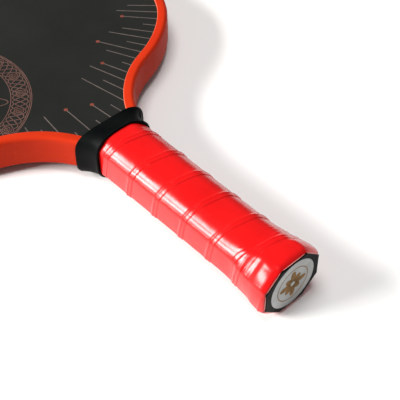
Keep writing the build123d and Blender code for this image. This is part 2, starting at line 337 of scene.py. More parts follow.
def film_outline():
    """The laminate's edge as a closed loop of (x, y) in handle millimetres, from the film's top face."""
    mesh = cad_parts["front_graphic_film"].data
    top = [p for p in mesh.polygons if p.normal.z > 0.9 and p.center.z > FACE_Z - FACE_TOLERANCE]
    uses = {}
    for polygon in top:
        for key in polygon.edge_keys:
            uses[key] = uses.get(key, 0) + 1
    spots = {}

    def spot(index):
        """The number of the place where a vertex is; vertices at one place share it."""
        co = mesh.vertices[index].co
        return spots.setdefault((round(co.x / MM, 3), round((co.y - BUTT_Y) / MM, 3)), len(spots))

    border = {}
    for (a, b), count in uses.items():
        if count == 1:
            a, b = spot(a), spot(b)
            border.setdefault(a, []).append(b)
            border.setdefault(b, []).append(a)
    places = list(spots)
    loop, before = [0], None
    while True:
        here = loop[-1]
        ahead = [k for k in border[here] if k != before][0]
        if ahead == loop[0]:
            break
        before = here
        loop.append(ahead)
    points = np.array([places[k] for k in loop])
    area = np.sum(points[:, 0] * np.roll(points[:, 1], -1) - points[:, 1] * np.roll(points[:, 0], -1))
    return points if area > 0 else points[::-1]


def edge_line():
    """The blade's edge from one end of the guard to the other, with its outward directions."""
    loop = evenly(film_outline(), OUTLINE_STEP, closed=True)
    loop = gaussian_closed(loop, OUTLINE_SMOOTH)
    # the loop starts on the centre line at the tongue's end, not at the tip
    beyond_tongue = 1000 * (loop[:, 1] > 50)
    start = np.argmin(np.abs(loop[:, 0]) + beyond_tongue)
    loop = np.roll(loop, -start, axis=0)
    tangent = np.roll(loop, -1, axis=0) - np.roll(loop, 1, axis=0)
    tangent /= np.linalg.norm(tangent, axis=1)[:, None]
    outward = np.stack([tangent[:, 1], -tangent[:, 0]], axis=1)
    keep = loop[:, 1] > GUARD_START_Y
    return loop[keep], outward[keep]


EDGE, OUTWARD = edge_line()
LIP_EDGE = EDGE - OUTWARD * LIP_IN


# ---------------------------------------------------------------- edge guard
LIP_CHAMFER = 0.15  # small chamfer at the lip's lower inner corner
LIP_SINK = 0.02  # the lip's underside is this far over the film at its inner edge, under it at the channel
LIP_CROWN = 0.3  # how much higher the lip is at its outer side
LIP_ROUND, WALL_ROUND = 0.45, 2.1  # radii of the lip's inner edge and of the corner over the wall
WALL_ROUND_STEPS = 7
WALL_ROUND_SWEEP = 84  # degrees
WALL_BELLY = 0.05  # how much the wall swells at its middle
CHANNEL_OUT = 0.32  # bottom of the channel, outside the mounting tape
RUBBED_BAND = 0.3  # width of the painted highlight along the lips' inner edge


def guard_section():
    """Half of the U-section, (outwards, up) from the laminate's edge: lip, corner and half of the wall."""
    points = [(-LIP_IN + LIP_CHAMFER, FACE_HALF + LIP_SINK), (-LIP_IN, FACE_HALF + LIP_CHAMFER)]
    x, z = -LIP_IN + LIP_ROUND, LIP_TOP - (LIP_CROWN + LIP_ROUND)
    points.append((-LIP_IN, z))
    for k in range(1, 6):
        a = radians(180 - 18 * k)
        points.append((x + LIP_ROUND * cos(a), z + LIP_ROUND * sin(a)))
    for share in (0.15, 0.3, 0.5, 0.7, 0.9):
        over_lip = share * (LIP_IN + GUARD_OUT - LIP_ROUND - WALL_ROUND)
        points.append((x + over_lip, LIP_TOP - LIP_CROWN + LIP_CROWN * sin(pi / 2 * share)))
    x, z = GUARD_OUT - WALL_ROUND, LIP_TOP - WALL_ROUND
    for k in range(WALL_ROUND_STEPS + 1):
        a = radians(90 - WALL_ROUND_SWEEP / WALL_ROUND_STEPS * k)
        points.append((x + WALL_ROUND * cos(a), z + WALL_ROUND * sin(a)))
    points += [(GUARD_OUT, 4.5), (GUARD_OUT + 0.8 * WALL_BELLY, 2.0)]
    return np.array(points)


def edge_guard(material):
    """Orange U-channel swept round the blade."""
    half = guard_section()
    wall_middle = [(GUARD_OUT + WALL_BELLY, 0.0)]
    channel = [(CHANNEL_OUT, -FACE_HALF + LIP_SINK), (CHANNEL_OUT, FACE_HALF - LIP_SINK)]
    section = np.vstack([half, wall_middle, half[::-1] * (1, -1), channel])
    count = len(section)
    rows = len(EDGE)
    points = np.zeros((rows, count, 3))
    points[:, :, :2] = EDGE[:, None, :] + OUTWARD[:, None, :] * section[None, :, :1]
    points[:, :, 2] = section[None, :, 1]
    faces = ring_faces(rows, count)
    faces.append(tuple(range(count))[::-1])
    faces.append(tuple(range((rows - 1) * count, rows * count)))
    points = points.reshape(-1, 3)
    piece = make_piece("edge_guard_moulding", points, faces, material, ("edge_guard",))
    # painted highlight: the points along the lips' inner edge are marked for the lighter colour
    rubbed = (section[:, 0] < -LIP_IN + RUBBED_BAND) & (np.abs(section[:, 1]) > FACE_HALF)
    set_attribute(piece, "rubbed", np.tile(rubbed, rows))


# ---------------------------------------------------------------- print on the faces
INK = 0.03  # thickness of every print
RAY_COUNT = 129
RAY_CENTRE = np.array([-5.4, 292.5])  # the rays point here
RAY_WIDTH = 0.55
RAY_UNDER_LIP = 0.8  # how far a ray runs on under the guard's lip
DOT_RADIUS = 1.15
DOT_OVERLAP = 0.05  # a ray starts this far inside its dot
# one motif of rays, mm long, and which of them end in a dot; it repeats all round the blade
RAY_LENGTHS = (17.7, 25, 21.5, 8, 19.5, 26, 12.5, 28, 19.3, 6.4, 17.2,
               24.5, 14.5, 31.2, 12.6, 19.6, 8.8, 26.5, 4.6, 16.3, 2.6, 5)
DOTTED = (2, 7, 10, 15, 17)
RAY_FIRST = 46.2  # degrees from the handle's direction, where the motif starts
SHORTEST_RAY = 1.5  # what is left of a ray beside the rosette isn't printed when it is shorter
ROSETTE_X, ROSETTE_Y, ROSETTE_RADIUS = -56.0, 214.0, 50.0
ROSETTE_MARGIN = 0.8  # rays stop this far outside the rosette
ROSETTE_UNDER_LIP = 1.2  # how far its lines run in under the guard's lip
ROSETTE_LINE = 0.42  # width of its lines
# the rosette's rings and band, mm inwards from its outer ring
SECOND_RING, INNER_RING, BAND_MIDDLE = 0.9, 11.5, 6.2
BAND_WAVES, BAND_HEIGHT = 18, 4.3  # waves round the band, and how far they swing
PETAL_RING = 13.0  # where the largest petals end, mm inwards from the outer ring
PETAL_COUNT = 9
HUB_RINGS = ((9.5, 120), (8.7, 120), (3.2, 60))  # radius, number of points


def ribbon(points, width, closed=False):
    """A flat printed line: a thin raised strip along (x, y) points. Returns points and faces."""
    p = np.asarray(points, float)
    ahead = np.roll(p, -1, axis=0) - p
    behind = p - np.roll(p, 1, axis=0)
    if not closed:
        ahead[-1] = behind[-1]
        behind[0] = ahead[0]
    ahead /= np.linalg.norm(ahead, axis=1)[:, None]
    behind /= np.linalg.norm(behind, axis=1)[:, None]
    tangent = ahead + behind
    tangent /= np.linalg.norm(tangent, axis=1)[:, None]
    side = np.stack([-tangent[:, 1], tangent[:, 0]], axis=1) * width / 2
    low = np.zeros(len(p))
    rows = np.stack([
        np.column_stack([p - side, low]),
        np.column_stack([p - side, low + INK]),
        np.column_stack([p + side, low + INK]),
        np.column_stack([p + side, low]),
    ], axis=1)
    faces = ring_faces(len(p), 4, closed)
    if not closed:
        last = (len(p) - 1) * 4
        faces += [(3, 2, 1, 0), (last, last + 1, last + 2, last + 3)]
    return rows.reshape(-1, 3), faces


def printed_patch(outline):
    """A filled printed area inside an anticlockwise (x, y) outline. Returns points and faces."""
    n = len(outline)
    low = np.column_stack([outline, np.zeros(n)])
    high = np.column_stack([outline, np.full(n, INK)])
    faces = ring_faces(2, n) + [tuple(range(n))[::-1], tuple(range(n, 2 * n))]
    return np.vstack([low, high]), faces


def gather(parts):
    """Several small meshes as one."""
    points, faces, base = [], [], 0
    for some_points, some_faces in parts:
        points.append(some_points)
        faces += [tuple(base + k for k in face) for face in some_faces]
        base += len(some_points)
    return np.vstack(points), faces


def on_face(points, side):
    """Lays a flat print on the front (side 1) or, turned over, on the back (side -1) of the blade."""
    laid = points.copy()
    laid[:, 0] *= side
    laid[:, 2] = side * (FACE_HALF + laid[:, 2])
    return laid


def reach(angle):
    """How far from the rays' centre the guard's lip is, in the direction angle (0 towards the handle)."""
    direction = np.array([sin(angle), -cos(angle)])
    across = np.array([direction[1], -direction[0]])
    away = LIP_EDGE - RAY_CENTRE
    side, along = away @ across, away @ direction
    best = 0.0
    for k in range(len(side) - 1):
        if side[k] * side[k + 1] <= 0 and along[k] > 0 and side[k] != side[k + 1]:
            t = side[k] / (side[k] - side[k + 1])
            best = max(best, along[k] + t * (along[k + 1] - along[k]))
    return best or RAY_CENTRE[1] - COLLAR_RIM_Y


def clear_length(lip_spot, direction, length):
    """How much of a ray, from the lip inwards, is printed before it would run into the rosette."""
    along = np.arange(0.0, length, 0.25)
    away = np.linalg.norm(lip_spot - along[:, None] * direction - (ROSETTE_X, ROSETTE_Y), axis=1)
    blocked = away < ROSETTE_RADIUS + ROSETTE_MARGIN
    return along[np.argmax(blocked)] if blocked.any() else length


def ray_print():
    """Rays from the rim inwards all round the blade, and the dots that end some of them."""
    lines, dots = [], []
    dot = polar(DOT_RADIUS, whole_turn(28))
    for k in range(RAY_COUNT):
        angle = radians(RAY_FIRST - 360 / RAY_COUNT * k)
        direction = np.array([sin(angle), -cos(angle)])
        outer = reach(angle)
        full_length = RAY_LENGTHS[k % len(RAY_LENGTHS)]
        length = clear_length(RAY_CENTRE + direction * outer, direction, full_length)
        if length < SHORTEST_RAY:
            continue
        start = RAY_CENTRE + direction * (outer - length)
        end = RAY_CENTRE + direction * (outer + RAY_UNDER_LIP)
        if length == full_length and k % len(RAY_LENGTHS) in DOTTED:
            dots.append(printed_patch(dot + start))
            start = start + direction * (DOT_RADIUS - DOT_OVERLAP)
        lines.append(ribbon([start, end], RAY_WIDTH))
    return gather(lines), gather(dots)


def rosette_lines():
    """A generic engraved rosette: rings, an interlaced band with small scrolls, and looped petals."""
    lines = [polar(ROSETTE_RADIUS - inwards, whole_turn(240)) for inwards in (0, SECOND_RING, INNER_RING)]
    a = whole_turn(900)
    band_radius = ROSETTE_RADIUS - BAND_MIDDLE
    for phase in whole_turn(4):
        lines.append(polar(band_radius + BAND_HEIGHT * np.sin(BAND_WAVES * a + phase), a))
    # small spirals along the middle of the band
    turn = np.linspace(0, 4.2 * pi, 60)
    for k in range(BAND_WAVES):
        centre = 2 * pi * (k + 0.5) / BAND_WAVES
        middle = (band_radius * cos(centre), band_radius * sin(centre))
        lines.append(polar(0.35 + 0.2 * turn, turn + centre) + middle)
    for size in (1.0, 0.86, 0.72):
        petals = (ROSETTE_RADIUS - PETAL_RING) * size * (0.62 + 0.38 * np.cos(PETAL_COUNT * a))
        lines.append(polar(petals, a))
    lines += [polar(radius, whole_turn(count)) for radius, count in HUB_RINGS]
    return lines


def inside_lip(points):
    """Which points of a line lie on the open face, with a margin that runs in under the lip."""
    margin = LIP_EDGE + OUTWARD * ROSETTE_UNDER_LIP
    nearest = np.argmin(np.linalg.norm(points[:, None, :] - margin[None, ::4, :], axis=2), axis=1) * 4
    away = np.sum((points - margin[nearest]) * OUTWARD[nearest], axis=1)
    return away < 0


def rosette_print():
    """The rosette's lines, cut off where they run in under the guard."""
    strips = []
    for line in rosette_lines():
        line = line + (ROSETTE_X, ROSETTE_Y)
        if np.linalg.norm(line[0] - line[-1]) < 3:
            line = np.vstack([line, line[:1]])
        shown = inside_lip(line)
        start = None
        for k in range(len(line) + 1):
            on = k < len(line) and shown[k]
            if on and start is None:
                start = k
            if not on and start is not None:
                if k - start > 2:
                    strips.append(ribbon(line[start:k], ROSETTE_LINE))
                start = None
    return gather(strips)


# ---------------------------------------------------------------- grip wrap
PITCH = 20.0  # the strip climbs this much in a turn
FIRST_SEAM = 14.4  # where the seam crosses the middle of the top, mm from the butt end
SHOULDER = 3.1  # distance from the exposed edge to the bump over the end of the strip below
# creases on the flare and at the collar: distance between them, and height
FLARE_CREASE, FLARE_CREASE_HEIGHT = 2.5, 0.25
NECK_CREASE, NECK_CREASE_HEIGHT = 1.7, 0.13
# heights of the strip's unevenness: slow and fine waves all over, the shoulder's own waves, gathers over
# the cap, puckers at the exposed edge
SLOW_WAVE, FINE_WAVE, SHOULDER_WAVE, GATHER, PUCKER = 0.05, 0.02, 0.09, 0.16, 0.035
# base surface of the wound grip: y, half width, half height, corner cut in x and z, softness of the top
# corners, bulge of each facet
GRIP_STATIONS = (
    (0.7, 18.0, 15.6, 9.5, 8.9, 2.0, 0.3),
    (1.5, 18.6, 16.4, 9.7, 9.1, 2.4, 0.35),
    (3.2, 19.0, 16.95, 9.6, 9.1, 2.8, 0.4),
    (5.6, 19.05, 17.0, 9.4, 9.0, 3.0, 0.4),
    (9.3, 18.85, 16.85, 9.5, 9.3, 3.0, 0.35),
    (13.0, 18.2, 16.4, 10.0, 9.7, 3.4, 0.3),
    (20.0, 17.0, 15.4, 8.1, 8.0, 4.4, 0.2),
    (27.0, 15.9, 14.6, 6.9, 6.9, 5.0, 0.14),
    (34.0, 15.6, 14.3, 6.6, 6.6, 5.2, 0.12),
    (60.0, 15.55, 14.25, 6.5, 6.5, 5.2, 0.12),
    (123.0, 15.7, 14.5, 6.5, 6.5, 5.2, 0.12),
    (128.5, 15.4, 14.2, 6.5, 6.5, 5.2, 0.12),
)
SIDE_SOFT = 1.3  # softness of the corners beside the side facets
FACET_POINTS, TOP_POINTS, SIDE_POINTS = 24, 20, 12
AROUND = 8 * FACET_POINTS + 4 * TOP_POINTS + 4 * SIDE_POINTS
# the overlap across the strip: distance from the exposed edge, height of the surface there, mm
OVERLAP_PROFILE = (
    (0.0, 0.0), (0.14, 0.08), (0.32, 0.17), (0.6, 0.235), (0.9, 0.26), (1.3, 0.26), (1.9, 0.25), (2.3, 0.27),
    (2.7, 0.35), (3.1, 0.41), (3.5, 0.37), (3.9, 0.24), (4.3, 0.13), (4.8, 0.07), (5.6, 0.03), (7.5, 0.0),
    (PITCH, 0.0),
)


def octagon_loop(half_w, half_h, cut_x, cut_z, top_soft, bulge):
    """A softened octagon as AROUND points, starting at the middle of the top and going towards +x."""
    x, z = half_w - cut_x, half_h - cut_z
    corners = np.array([(x, half_h), (half_w, z), (half_w, -z), (x, -half_h), (-x, -half_h), (-half_w, -z),
                        (-half_w, z), (-x, half_h)], float)
    softness = (top_soft, SIDE_SOFT, SIDE_SOFT, top_soft) * 2
    counts = (TOP_POINTS, SIDE_POINTS, SIDE_POINTS, TOP_POINTS) * 2
    points = []
    for k in range(8):
        before, here, after = corners[k - 1], corners[k], corners[(k + 1) % 8]
        arriving = (here - before) / np.linalg.norm(here - before)
        leaving = (after - here) / np.linalg.norm(after - here)
        last_soft, soft, next_count = softness[k - 1], softness[k], counts[k]
        facet_start = before + arriving * last_soft
        facet_end = here - arriving * soft
        outward = np.array([-arriving[1], arriving[0]])
        for t in np.arange(FACET_POINTS) / FACET_POINTS:
            points.append(facet_start * (1 - t) + facet_end * t + outward * bulge * 4 * t * (1 - t))
        corner_end = here + leaving * soft
        for t in np.arange(next_count) / next_count:
            points.append(facet_end * (1 - t) ** 2 + here * 2 * t * (1 - t) + corner_end * t**2)
    return gaussian_closed(np.roll(np.array(points), -FACET_POINTS // 2, axis=0), 1.2)


def loop_normals(loop):
    """Outward directions of a closed clockwise loop."""
    tangent = np.roll(loop, -1, axis=0) - np.roll(loop, 1, axis=0)
    tangent /= np.linalg.norm(tangent, axis=1)[:, None]
    return np.stack([-tangent[:, 1], tangent[:, 0]], axis=1)


def station_weights(y):
    """Share of each station in the section at distance y, along a smooth curve through them all."""
    ys = [station[0] for station in GRIP_STATIONS]
    last = len(ys) - 1
    k = min(max(int(np.searchsorted(ys, y, side="right")) - 1, 0), last - 1)
    span = ys[k + 1] - ys[k]
    t = (y - ys[k]) / span
    weights = np.zeros(len(ys))
    weights[k] += 2 * t**3 - 3 * t**2 + 1
    weights[k + 1] += 3 * t**2 - 2 * t**3
    for index, slope in ((k, t**3 - 2 * t**2 + t), (k + 1, t**3 - t**2)):
        low, high = max(index - 1, 0), min(index + 1, last)
        weights[high] += slope * span / (ys[high] - ys[low])
        weights[low] -= slope * span / (ys[high] - ys[low])
    return weights


def strip_rows():
    """Distances across the strip at which the mesh has a row, closer together at the overlap."""
    edge = [0.0, 0.025, 0.05, 0.09, 0.14, 0.22, 0.32, 0.48, 0.7, 1.0, 1.3, 1.6, 1.9]
    shoulder = [2.1, 2.3, 2.5, 2.7, 2.9, 3.1, 3.3, 3.5, 3.7, 3.9, 4.1, 4.3, 4.55, 4.8, 5.2, 5.6]
    plain = list(np.linspace(6.2, PITCH - 0.6, 25))
    return np.array(edge + shoulder + plain + [PITCH - 0.3, PITCH - 0.1])


def fade(low, high, value):
    """smoothstep for a single number."""
    return float(smoothstep(low, high, value))


def ridges(winding, spacing, wander):
    """Narrow ridges, 0 to 1, that follow the strip round and wander a little."""
    return (0.5 + 0.5 * sin(2 * pi * winding / spacing + wander)) ** 2


def strip_lift(share, y, v, overlap):
    """Height of the strip's surface over the smooth grip: overlap, creases and unevenness of the foam.

    share is how far round the grip the point is, y its distance from the butt, v its distance across the
    strip from the exposed edge, and overlap the overlap's height there.
    """
    top, right = cos(2 * pi * share), sin(2 * pi * share)
    winding = y + PITCH * share

    def waves(tightness, along, shift=(0, 0)):
        """Noise round the grip (tightness) and along it."""
        return noise.noise(Vector((top * tightness + shift[0], right * tightness, y * along + shift[1])))

    # the overlap stands higher on the right
    lift = overlap * fade(0.0, 1.0, y) * (1 + 0.35 * waves(1.4, 0.035, (0, 5)) + 0.5 * max(right, 0))
    # a second, softer shoulder where the strip below ends
    crest = exp(-((v - SHOULDER) / 0.35) ** 2)
    lift += SHOULDER_WAVE * crest * waves(1.1, 0.04, (9, 0))
    # creases where the strip is pulled down the flare, and where its end bunches up at the collar
    flare = fade(12.5, 15, y) * (1 - fade(24, 27, y))
    neck = fade(116.5, 118, y) * (1 - fade(121.5, 123, y))
    if flare or neck:
        drift = waves(2.2, 0.1, (3, 0))
        # those on the flare are deepest on the left chamfers
        depth = 0.35 + 0.65 * (fade(0.15, 0.4, -right) * (1 - fade(0.8, 0.92, -right)))
        lift += FLARE_CREASE_HEIGHT * flare * depth * ridges(winding, FLARE_CREASE, 5.0 * drift)
        lift += NECK_CREASE_HEIGHT * neck * ridges(winding, NECK_CREASE, 2.0 * drift)
    # the wound strip is never quite flat
    lift += SLOW_WAVE * waves(2.2, 0.16, (0, 11))
    lift += FINE_WAVE * waves(5, 0.5, (7, 0))
    # gathers where it turns in over the cap
    lift += GATHER * (1 - fade(1.5, 4.5, y)) * waves(7, 0.3)
    # puckers that run from the exposed edge into the strip
    pucker = exp(-(max(v - 0.4, 0) / 1.6) ** 2) * fade(0.0, 0.4, v)
    lift += PUCKER * pucker * waves(16, 0.12)
    return lift


def corner_shade():
    """How near each point of a loop is to the middle of a corner beside a side facet, 0 to 1; it places the
    painted shade along those corners.
    """
    shade = []
    for corner in range(8):
        shade += [0.0] * FACET_POINTS
        beside = corner % 4 in (1, 2)
        count = SIDE_POINTS if beside else TOP_POINTS
        shade += [exp(-(((k + 0.5) / count - 0.5) / 0.3) ** 2) * beside for k in range(count)]
    return np.roll(shade, -FACET_POINTS // 2)


def grip_wrap(material):
    """The red strip, wound from the cap up to the collar, each turn lying over the one before."""
    loops = np.array([octagon_loop(*station[1:]) for station in GRIP_STATIONS])
    normals = np.array([loop_normals(loop) for loop in loops])
    # how far round the grip each column is, by the length of its shaft's outline
    shaft = loops[-2]
    steps = np.linalg.norm(np.roll(shaft, -1, axis=0) - shaft, axis=1)
    shares = np.concatenate([[0], np.cumsum(steps)[:-1]]) / steps.sum()
    corner = corner_shade()
    across = strip_rows()
    overlap = np.interp(across, *zip(*OVERLAP_PROFILE))
    y_low, y_high = GRIP_STATIONS[0][0], GRIP_STATIONS[-1][0]
    turns = range(-1, int(ceil((y_high - FIRST_SEAM) / PITCH)) + 1)
    points, grooves = [], []
    for turn in turns:
        for v, height in zip(across, overlap):
            for i, share in enumerate(shares):
                y = min(max(FIRST_SEAM + PITCH * (turn - share) + v, y_low), y_high)
                weights = station_weights(y)
                place, normal = weights @ loops[:, i], weights @ normals[:, i]
                place = place + normal * strip_lift(share, y, v, height)
                points.append((place[0], y, place[1]))
                # painted shade: the groove at the overlap's exposed edge is darkened, most of all by the
                # cap, and so are the corners beside the side facets
                from_edge = min(v / 0.1, (PITCH - v) / 0.3)
                dirt = 1 - 0.7 * fade(3, 7, y)
                grooves.append(max(dirt * exp(-from_edge * from_edge), 0.8 * corner[i]))
    faces = helix_faces(len(turns) * len(across), len(across), [p[1] for p in points])
    covered = ("grip_wrap", "grip_backing")
    piece = make_piece("grip_wrap_strip", points, faces, material, covered)
    # the painted shade goes to the material as one number per point
    set_attribute(piece, "groove", grooves)


def helix_faces(rows, rows_per_turn, y):
    """Quads of the wound grid: the last column of a row joins the first column one turn on."""
    faces = []
    for r in range(rows - 1):
        for i in range(AROUND):
            a, b = r * AROUND + i, (r + 1) * AROUND + i
            if i + 1 < AROUND:
                c, d = b + 1, a + 1
            elif r >= rows_per_turn:
                c, d = (r - rows_per_turn + 1) * AROUND, (r - rows_per_turn) * AROUND
            else:
                continue
            corners = (y[a], y[b], y[c], y[d])
            if max(corners) - min(corners) > 1e-6:
                faces.append((a, b, c, d))
    return faces


# ---------------------------------------------------------------- collar
COLLAR_AROUND = 288
COLLAR_REST_Z = -15.35  # underside of the collar's mouth, flattened where it bears on the floor
COLLAR_SLIP = 2.7  # how far the mouth has slid towards the blade, all round but on the right
COLLAR_PULL = 2.0  # how far the rim is pulled back towards the grip on the right
COLLAR_LEAN = -0.3  # how far the rim has shifted across
# half width, half height and squareness of the sleeve at the mouth, and what they gain up to the rim
MOUTH_SHAPE = (17.5, 15.3, 3.0)
RIM_GAIN = (5.7, -1.1, 0.9)
FLARE_POWER = 1.9  # the sleeve widens late
WAIST, WAIST_RIGHT = 0.1, 1.3  # how far it draws in between its ends, and how much more on the right
# the bead at the mouth, the rim at the blade and the mouth's folded-in lip: distance from the end, height
BEAD = ((0.0, 0.0), (0.25, 0.2), (0.6, 0.27), (1.0, 0.22), (1.4, 0.08), (1.9, -0.03))
RIM = ((1.0, -0.02), (0.55, 0.04), (0.2, -0.1), (0.02, -0.4), (0.0, -0.9))
FOLDED_LIP = ((2.4, -2.6), (0.6, -2.0), (0.1, -0.9), (-0.1, -0.35))
GUARD_HALF_WIDTH, LIP_HALF_WIDTH = 20.6, 14.2  # of the throat at the rim, outside and between the lips
CLOSING_GAP = 0.05  # between the rim and what it closes on
WRINKLE, CROSS_WRINKLE = 0.28, 0.2  # heights of the sleeve's wrinkles underneath
FLOOR_GAP = 0.05  # the sleeve stays this far above the floor


def floor_height(y):
    """Height of the floor, on which the paddle rests by the collar's mouth and the tip of the guard."""
    slope = (-LIP_TOP - COLLAR_REST_Z) / (TIP_Y - COLLAR_MOUTH_Y)
    return COLLAR_REST_Z + slope * (y - COLLAR_MOUTH_Y)


def superellipse_radius(angle, half_w, half_h, power):
    """Distance from the middle to a rounded rectangle; a higher power makes it squarer."""
    c, s = np.abs(np.cos(angle)) / half_w, np.abs(np.sin(angle)) / half_h
    return (c**power + s**power) ** (-1 / power)


def blade_radius(angle):
    """Distance from the middle to the surface of the blade and guard where the collar closes on them."""
    c, s = np.abs(np.cos(angle)) + 1e-9, np.abs(np.sin(angle)) + 1e-9
    over_face = (FACE_HALF + CLOSING_GAP) / s
    over_lip = np.minimum((LIP_TOP + CLOSING_GAP) / s, GUARD_HALF_WIDTH / c)
    return np.where(over_face * c < LIP_HALF_WIDTH, over_face, over_lip)


def rubber_collar(material):
    """Stretched rubber sleeve: a bead at the mouth, a waist, and a rim that closes on the blade.

    Its rings run from the lip that is folded into the mouth, along the outside, to the blade.
    """
    angle = whole_turn(COLLAR_AROUND)
    length = COLLAR_RIM_Y - COLLAR_MOUTH_Y
    # towards the right the slip fades out and the pull sets in
    slid = smoothstep(0.0, 0.45, 0.78 - np.cos(angle)) * COLLAR_SLIP
    pulled = smoothstep(0.7, 1.0, np.cos(angle)) * COLLAR_PULL
    waist = WAIST + WAIST_RIGHT * np.maximum(np.cos(angle), 0)
    loops = []

    def ring(y, radius, lean=COLLAR_LEAN):
        """Adds a ring; the slip is full at the mouth, the pull and the lean are full at the rim."""
        towards_rim = np.clip((y - COLLAR_MOUTH_Y) / length, 0, 1)
        place = y + slid * (1 - towards_rim) - pulled * towards_rim**2
        x = lean * towards_rim + radius * np.cos(angle)
        loops.append(np.column_stack([x, place, radius * np.sin(angle)]))

    def outside(share):
        """Radius of the plain sleeve, share 0 at the mouth and 1 at the rim."""
        half_w = MOUTH_SHAPE[0] + RIM_GAIN[0] * share**FLARE_POWER
        half_h = MOUTH_SHAPE[1] + RIM_GAIN[1] * share
        return superellipse_radius(angle, half_w, half_h, MOUTH_SHAPE[2] + RIM_GAIN[2] * share)

    for y, out in FOLDED_LIP:
        ring(COLLAR_MOUTH_Y + y, outside(0) + out)
    for y, out in BEAD:
        ring(COLLAR_MOUTH_Y + y, outside(y / length) + out)
    for share in np.linspace(0.17, 0.9, 14):
        ring(COLLAR_MOUTH_Y + share * length, outside(share) - waist * sin(pi * share))
    for y, out in RIM:
        ring(COLLAR_RIM_Y - y, outside(1 - y / length) + out)
    ring(COLLAR_RIM_Y - 0.05, blade_radius(angle), lean=0)
    ring(COLLAR_RIM_Y - 1.2, blade_radius(angle) - 0.02, lean=0)
    points = np.array(loops)
    x, y, z = points[:, :, 0], points[:, :, 1], points[:, :, 2]
    wrinkles = WRINKLE * np.sin(x * 1.5 + y * 1.9) + CROSS_WRINKLE * np.sin(y * 1.3)
    underneath = smoothstep(11.5, 13.8, -z)
    points[:, :, 2] = np.maximum(z + underneath * wrinkles, floor_height(y) + FLOOR_GAP)
    points = points.reshape(-1, 3)
    faces = ring_faces(len(loops), COLLAR_AROUND, closed_rows=True)
    make_piece("throat_collar", points, faces, material, ("rubber_collar",))


def sleeve(loop, profile, start=0.0):
    """A closed band round the grip: a profile of (distance along, height over the loop), swept round it."""
    normal = loop_normals(loop)
    points = []
    for y, out in profile:
        ring = loop + normal * out
        points.append(np.column_stack([ring[:, 0], np.full(AROUND, start + y), ring[:, 1]]))
    return np.vstack(points), ring_faces(len(points), AROUND, closed_rows=True)


TAPE_START = COLLAR_MOUTH_Y + COLLAR_SLIP + 0.7  # inside the mouth, where it has slid furthest
TAPE_LENGTH, TAPE_HEIGHT, TAPE_SHOULDER = 2.6, 0.28, 0.2


def tape_band(material):
    """Black finishing tape round the end of the wrap, under the collar and moved with its mouth."""
    near = [(0.0, 0.0), (0.0, TAPE_SHOULDER), (0.1, TAPE_HEIGHT)]
    far = [(TAPE_LENGTH - y, out) for y, out in reversed(near)]
    points, faces = sleeve(octagon_loop(*GRIP_STATIONS[-1][1:]), near + far, TAPE_START)
    make_piece("tape_band", points, faces, material, ("finishing_tape",))


# ---------------------------------------------------------------- butt end
BADGE_RING, BADGE_RING_WIDTH = 10.2, 0.55
BADGE_PETALS = 8  # long and short by turns
PETAL_START = 1.3  # from the badge's middle
PETAL_LENGTHS = (7.6, 5.4)
PETAL_HALF_WIDTH, PETAL_TIP_HALF = 1.75, 0.02
# section of the strip's cut edge: distance from the butt end, height over the wrap's first outline
CUT_EDGE = ((0.75, -1.2), (0.45, -0.9), (0.4, -0.3), (0.62, 0.02), (0.85, -0.1), (0.95, -0.6))


def badge_print(material):
    """A generic eight-petal rosette and ring printed on the badge."""
    parts = [ribbon(polar(BADGE_RING, whole_turn(240)), BADGE_RING_WIDTH, closed=True)]
    petal = np.linspace(-1, 1, 25)
    half = PETAL_HALF_WIDTH * np.sqrt(np.clip(1 - petal**2, 0, 1)) + PETAL_TIP_HALF
    for k in range(BADGE_PETALS):
        turn = 2 * pi * k / BADGE_PETALS
        along = PETAL_START + (petal + 1) / 2 * PETAL_LENGTHS[k % 2]
        right = np.stack([along, -half], axis=1)
        left = np.stack([along, half], axis=1)[::-1]
        spin = np.array([[cos(turn), sin(turn)], [-sin(turn), cos(turn)]])
        parts.append(printed_patch(np.vstack([right, left]) @ spin))
    points, faces = gather(parts)
    standing = np.column_stack([points[:, 0], -points[:, 2], points[:, 1]])
    make_piece("badge_rosette", standing, faces, material, smooth=False)


def grip_cut_edge(material):
    """The strip's pale cut edge, where the wrap ends against the cap's flange."""
    points, faces = sleeve(octagon_loop(*GRIP_STATIONS[0][1:]), CUT_EDGE)
    make_piece("grip_cut_edge", points, faces, material)


# ---------------------------------------------------------------- stage, light and camera
CAMERA_PLACE = (-232.9, -186.4, 378.2)  # handle mm
CAMERA_AZIMUTH, CAMERA_ELEVATION, CAMERA_ROLL = -42.85, 47.27, -0.13  # degrees
LENS = 90.5
SENSOR = 36.0
FLOOR_HALF = 6000.0  # mm
LIT_POINT = (0.0, 90.0, 0.0)  # the lights aim at the middle of the grip, handle mm
ROOM_STRENGTH = 0.18
# lights: direction, distance in metres, width and height in metres, power in watts
KEY_LIGHT = ((-0.735, 0.5, 0.46), 2.6, 1.45, 0.8, 160)
FILL_LIGHT = ((-0.05, 0.05, 1.0), 2.2, 1.2, 1.2, 36)
KEY_COLOUR = (1.0, 0.985, 0.97)


def floor_plane():
    """Pale floor on which the paddle rests."""
    square = np.array([(-1, -1), (1, -1), (1, 1), (-1, 1)]) * FLOOR_HALF
    corners = [(x, y, floor_height(y)) for x, y in square]
    mesh = bpy.data.meshes.new("floor")
    mesh.from_pydata(to_frame(corners).tolist(), [], [(0, 1, 2, 3)])
    m = Material("floor_card", IOR=1.45, Specular_IOR_Level=0.25)
    m.colour(m.mix(m.ramp(m.noise(3, 3), 0.3, 0.7), srgb(240, 238, 236), srgb(244, 243, 242)))
    m.roughness(m.ramp(m.noise(20, 2), 0.3, 0.7, 0.6, 0.7))
    mesh.materials.append(m.material)
    plane = bpy.data.objects.new("floor", mesh)
    bpy.context.scene.collection.objects.link(plane)


